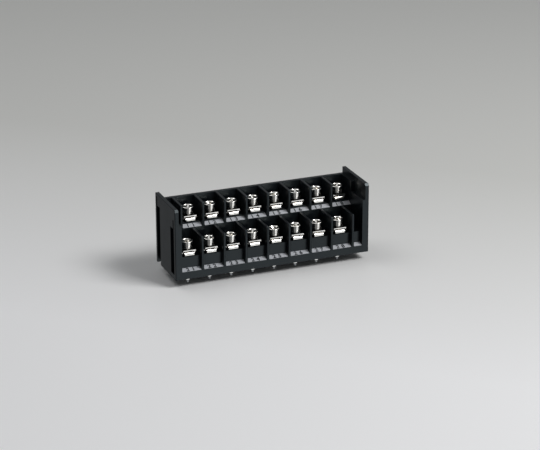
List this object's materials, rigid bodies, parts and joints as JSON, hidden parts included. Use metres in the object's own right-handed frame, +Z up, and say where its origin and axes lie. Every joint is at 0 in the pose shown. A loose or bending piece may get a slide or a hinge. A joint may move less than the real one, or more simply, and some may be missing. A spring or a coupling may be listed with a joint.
{
  "type": "barrier terminal strip",
  "caption": "Two-tier barrier terminal strip for a circuit board: moulded housing with stepped compartments, captive pan head screws with washers, and solder pins below.",
  "frame": {"origin": "middle of the housing's underside, which is the face that sits on the circuit board", "axes": "+X along the row of poles, +Y from the wiring side to the rear wall, +Z up from the board"},
  "size_m": [0.0854, 0.0238, 0.0337],
  "materials": {
    "housing_plastic": "black glass-filled polyester, moulded with a fine satin surface",
    "terminal_nickel": "pressed brass with bright nickel plating",
    "washer_nickel": "pressed steel with bright nickel plating",
    "screw_nickel": "cold-headed steel with bright nickel plating"
  },
  "bodies": {
    "block": {"housing": "housing_plastic", "terminal_lower_1": "terminal_nickel", "terminal_lower_2": "terminal_nickel", "terminal_lower_3": "terminal_nickel", "terminal_lower_4": "terminal_nickel", "terminal_lower_5": "terminal_nickel", "terminal_lower_6": "terminal_nickel", "terminal_lower_7": "terminal_nickel", "terminal_lower_8": "terminal_nickel", "terminal_upper_1": "terminal_nickel", "terminal_upper_2": "terminal_nickel", "terminal_upper_3": "terminal_nickel", "terminal_upper_4": "terminal_nickel", "terminal_upper_5": "terminal_nickel", "terminal_upper_6": "terminal_nickel", "terminal_upper_7": "terminal_nickel", "terminal_upper_8": "terminal_nickel"},
    "washers_lower_1": {"washers_lower_1": "washer_nickel"},
    "screw_lower_1": {"screw_lower_1": "screw_nickel"},
    "washers_lower_2": {"washers_lower_2": "washer_nickel"},
    "screw_lower_2": {"screw_lower_2": "screw_nickel"},
    "washers_lower_3": {"washers_lower_3": "washer_nickel"},
    "screw_lower_3": {"screw_lower_3": "screw_nickel"},
    "washers_lower_4": {"washers_lower_4": "washer_nickel"},
    "screw_lower_4": {"screw_lower_4": "screw_nickel"},
    "washers_lower_5": {"washers_lower_5": "washer_nickel"},
    "screw_lower_5": {"screw_lower_5": "screw_nickel"},
    "washers_lower_6": {"washers_lower_6": "washer_nickel"},
    "screw_lower_6": {"screw_lower_6": "screw_nickel"},
    "washers_lower_7": {"washers_lower_7": "washer_nickel"},
    "screw_lower_7": {"screw_lower_7": "screw_nickel"},
    "washers_lower_8": {"washers_lower_8": "washer_nickel"},
    "screw_lower_8": {"screw_lower_8": "screw_nickel"},
    "washers_upper_1": {"washers_upper_1": "washer_nickel"},
    "screw_upper_1": {"screw_upper_1": "screw_nickel"},
    "washers_upper_2": {"washers_upper_2": "washer_nickel"},
    "screw_upper_2": {"screw_upper_2": "screw_nickel"},
    "washers_upper_3": {"washers_upper_3": "washer_nickel"},
    "screw_upper_3": {"screw_upper_3": "screw_nickel"},
    "washers_upper_4": {"washers_upper_4": "washer_nickel"},
    "screw_upper_4": {"screw_upper_4": "screw_nickel"},
    "washers_upper_5": {"washers_upper_5": "washer_nickel"},
    "screw_upper_5": {"screw_upper_5": "screw_nickel"},
    "washers_upper_6": {"washers_upper_6": "washer_nickel"},
    "screw_upper_6": {"screw_upper_6": "screw_nickel"},
    "washers_upper_7": {"washers_upper_7": "washer_nickel"},
    "screw_upper_7": {"screw_upper_7": "screw_nickel"},
    "washers_upper_8": {"washers_upper_8": "washer_nickel"},
    "screw_upper_8": {"screw_upper_8": "screw_nickel"}
  },
  "joints": [
    {"name": "washers_lower_1_lift", "type": "slide", "parent": "block", "child": "washers_lower_1", "axis": [0, 0, 1], "range_m": [0, 0.0025]},
    {"name": "screw_lower_1_turn", "type": "hinge", "parent": "washers_lower_1", "child": "screw_lower_1", "pos_m": [-0.03562, -0.00615, 0.01271], "axis": [0, 0, 1], "range_deg": [0, 1801]},
    {"name": "washers_lower_2_lift", "type": "slide", "parent": "block", "child": "washers_lower_2", "axis": [0, 0, 1], "range_m": [0, 0.0025]},
    {"name": "screw_lower_2_turn", "type": "hinge", "parent": "washers_lower_2", "child": "screw_lower_2", "pos_m": [-0.02612, -0.00615, 0.01271], "axis": [0, 0, 1], "range_deg": [0, 1801]},
    {"name": "washers_lower_3_lift", "type": "slide", "parent": "block", "child": "washers_lower_3", "axis": [0, 0, 1], "range_m": [0, 0.0025]},
    {"name": "screw_lower_3_turn", "type": "hinge", "parent": "washers_lower_3", "child": "screw_lower_3", "pos_m": [-0.01663, -0.00615, 0.01271], "axis": [0, 0, 1], "range_deg": [0, 1801]},
    {"name": "washers_lower_4_lift", "type": "slide", "parent": "block", "child": "washers_lower_4", "axis": [0, 0, 1], "range_m": [0, 0.0025]},
    {"name": "screw_lower_4_turn", "type": "hinge", "parent": "washers_lower_4", "child": "screw_lower_4", "pos_m": [-0.00713, -0.00615, 0.01271], "axis": [0, 0, 1], "range_deg": [0, 1801]},
    {"name": "washers_lower_5_lift", "type": "slide", "parent": "block", "child": "washers_lower_5", "axis": [0, 0, 1], "range_m": [0, 0.0025]},
    {"name": "screw_lower_5_turn", "type": "hinge", "parent": "washers_lower_5", "child": "screw_lower_5", "pos_m": [0.00237, -0.00615, 0.01271], "axis": [0, 0, 1], "range_deg": [0, 1801]},
    {"name": "washers_lower_6_lift", "type": "slide", "parent": "block", "child": "washers_lower_6", "axis": [0, 0, 1], "range_m": [0, 0.0025]},
    {"name": "screw_lower_6_turn", "type": "hinge", "parent": "washers_lower_6", "child": "screw_lower_6", "pos_m": [0.01188, -0.00615, 0.01271], "axis": [0, 0, 1], "range_deg": [0, 1801]},
    {"name": "washers_lower_7_lift", "type": "slide", "parent": "block", "child": "washers_lower_7", "axis": [0, 0, 1], "range_m": [0, 0.0025]},
    {"name": "screw_lower_7_turn", "type": "hinge", "parent": "washers_lower_7", "child": "screw_lower_7", "pos_m": [0.02138, -0.00615, 0.01271], "axis": [0, 0, 1], "range_deg": [0, 1801]},
    {"name": "washers_lower_8_lift", "type": "slide", "parent": "block", "child": "washers_lower_8", "axis": [0, 0, 1], "range_m": [0, 0.0025]},
    {"name": "screw_lower_8_turn", "type": "hinge", "parent": "washers_lower_8", "child": "screw_lower_8", "pos_m": [0.03087, -0.00615, 0.01271], "axis": [0, 0, 1], "range_deg": [0, 1801]},
    {"name": "washers_upper_1_lift", "type": "slide", "parent": "block", "child": "washers_upper_1", "axis": [0, 0, 1], "range_m": [0, 0.0025]},
    {"name": "screw_upper_1_turn", "type": "hinge", "parent": "washers_upper_1", "child": "screw_upper_1", "pos_m": [-0.03087, 0.00555, 0.02291], "axis": [0, 0, 1], "range_deg": [0, 1801]},
    {"name": "washers_upper_2_lift", "type": "slide", "parent": "block", "child": "washers_upper_2", "axis": [0, 0, 1], "range_m": [0, 0.0025]},
    {"name": "screw_upper_2_turn", "type": "hinge", "parent": "washers_upper_2", "child": "screw_upper_2", "pos_m": [-0.02138, 0.00555, 0.02291], "axis": [0, 0, 1], "range_deg": [0, 1801]},
    {"name": "washers_upper_3_lift", "type": "slide", "parent": "block", "child": "washers_upper_3", "axis": [0, 0, 1], "range_m": [0, 0.0025]},
    {"name": "screw_upper_3_turn", "type": "hinge", "parent": "washers_upper_3", "child": "screw_upper_3", "pos_m": [-0.01188, 0.00555, 0.02291], "axis": [0, 0, 1], "range_deg": [0, 1801]},
    {"name": "washers_upper_4_lift", "type": "slide", "parent": "block", "child": "washers_upper_4", "axis": [0, 0, 1], "range_m": [0, 0.0025]},
    {"name": "screw_upper_4_turn", "type": "hinge", "parent": "washers_upper_4", "child": "screw_upper_4", "pos_m": [-0.00237, 0.00555, 0.02291], "axis": [0, 0, 1], "range_deg": [0, 1801]},
    {"name": "washers_upper_5_lift", "type": "slide", "parent": "block", "child": "washers_upper_5", "axis": [0, 0, 1], "range_m": [0, 0.0025]},
    {"name": "screw_upper_5_turn", "type": "hinge", "parent": "washers_upper_5", "child": "screw_upper_5", "pos_m": [0.00713, 0.00555, 0.02291], "axis": [0, 0, 1], "range_deg": [0, 1801]},
    {"name": "washers_upper_6_lift", "type": "slide", "parent": "block", "child": "washers_upper_6", "axis": [0, 0, 1], "range_m": [0, 0.0025]},
    {"name": "screw_upper_6_turn", "type": "hinge", "parent": "washers_upper_6", "child": "screw_upper_6", "pos_m": [0.01663, 0.00555, 0.02291], "axis": [0, 0, 1], "range_deg": [0, 1801]},
    {"name": "washers_upper_7_lift", "type": "slide", "parent": "block", "child": "washers_upper_7", "axis": [0, 0, 1], "range_m": [0, 0.0025]},
    {"name": "screw_upper_7_turn", "type": "hinge", "parent": "washers_upper_7", "child": "screw_upper_7", "pos_m": [0.02612, 0.00555, 0.02291], "axis": [0, 0, 1], "range_deg": [0, 1801]},
    {"name": "washers_upper_8_lift", "type": "slide", "parent": "block", "child": "washers_upper_8", "axis": [0, 0, 1], "range_m": [0, 0.0025]},
    {"name": "screw_upper_8_turn", "type": "hinge", "parent": "washers_upper_8", "child": "screw_upper_8", "pos_m": [0.03562, 0.00555, 0.02291], "axis": [0, 0, 1], "range_deg": [0, 1801]}
  ],
  "couplings": [
    {"joint": "screw_lower_1_turn", "follows": "washers_lower_1_lift", "rad_per_m": 12566},
    {"joint": "screw_lower_2_turn", "follows": "washers_lower_2_lift", "rad_per_m": 12566},
    {"joint": "screw_lower_3_turn", "follows": "washers_lower_3_lift", "rad_per_m": 12566},
    {"joint": "screw_lower_4_turn", "follows": "washers_lower_4_lift", "rad_per_m": 12566},
    {"joint": "screw_lower_5_turn", "follows": "washers_lower_5_lift", "rad_per_m": 12566},
    {"joint": "screw_lower_6_turn", "follows": "washers_lower_6_lift", "rad_per_m": 12566},
    {"joint": "screw_lower_7_turn", "follows": "washers_lower_7_lift", "rad_per_m": 12566},
    {"joint": "screw_lower_8_turn", "follows": "washers_lower_8_lift", "rad_per_m": 12566},
    {"joint": "screw_upper_1_turn", "follows": "washers_upper_1_lift", "rad_per_m": 12566},
    {"joint": "screw_upper_2_turn", "follows": "washers_upper_2_lift", "rad_per_m": 12566},
    {"joint": "screw_upper_3_turn", "follows": "washers_upper_3_lift", "rad_per_m": 12566},
    {"joint": "screw_upper_4_turn", "follows": "washers_upper_4_lift", "rad_per_m": 12566},
    {"joint": "screw_upper_5_turn", "follows": "washers_upper_5_lift", "rad_per_m": 12566},
    {"joint": "screw_upper_6_turn", "follows": "washers_upper_6_lift", "rad_per_m": 12566},
    {"joint": "screw_upper_7_turn", "follows": "washers_upper_7_lift", "rad_per_m": 12566},
    {"joint": "screw_upper_8_turn", "follows": "washers_upper_8_lift", "rad_per_m": 12566}
  ]
}
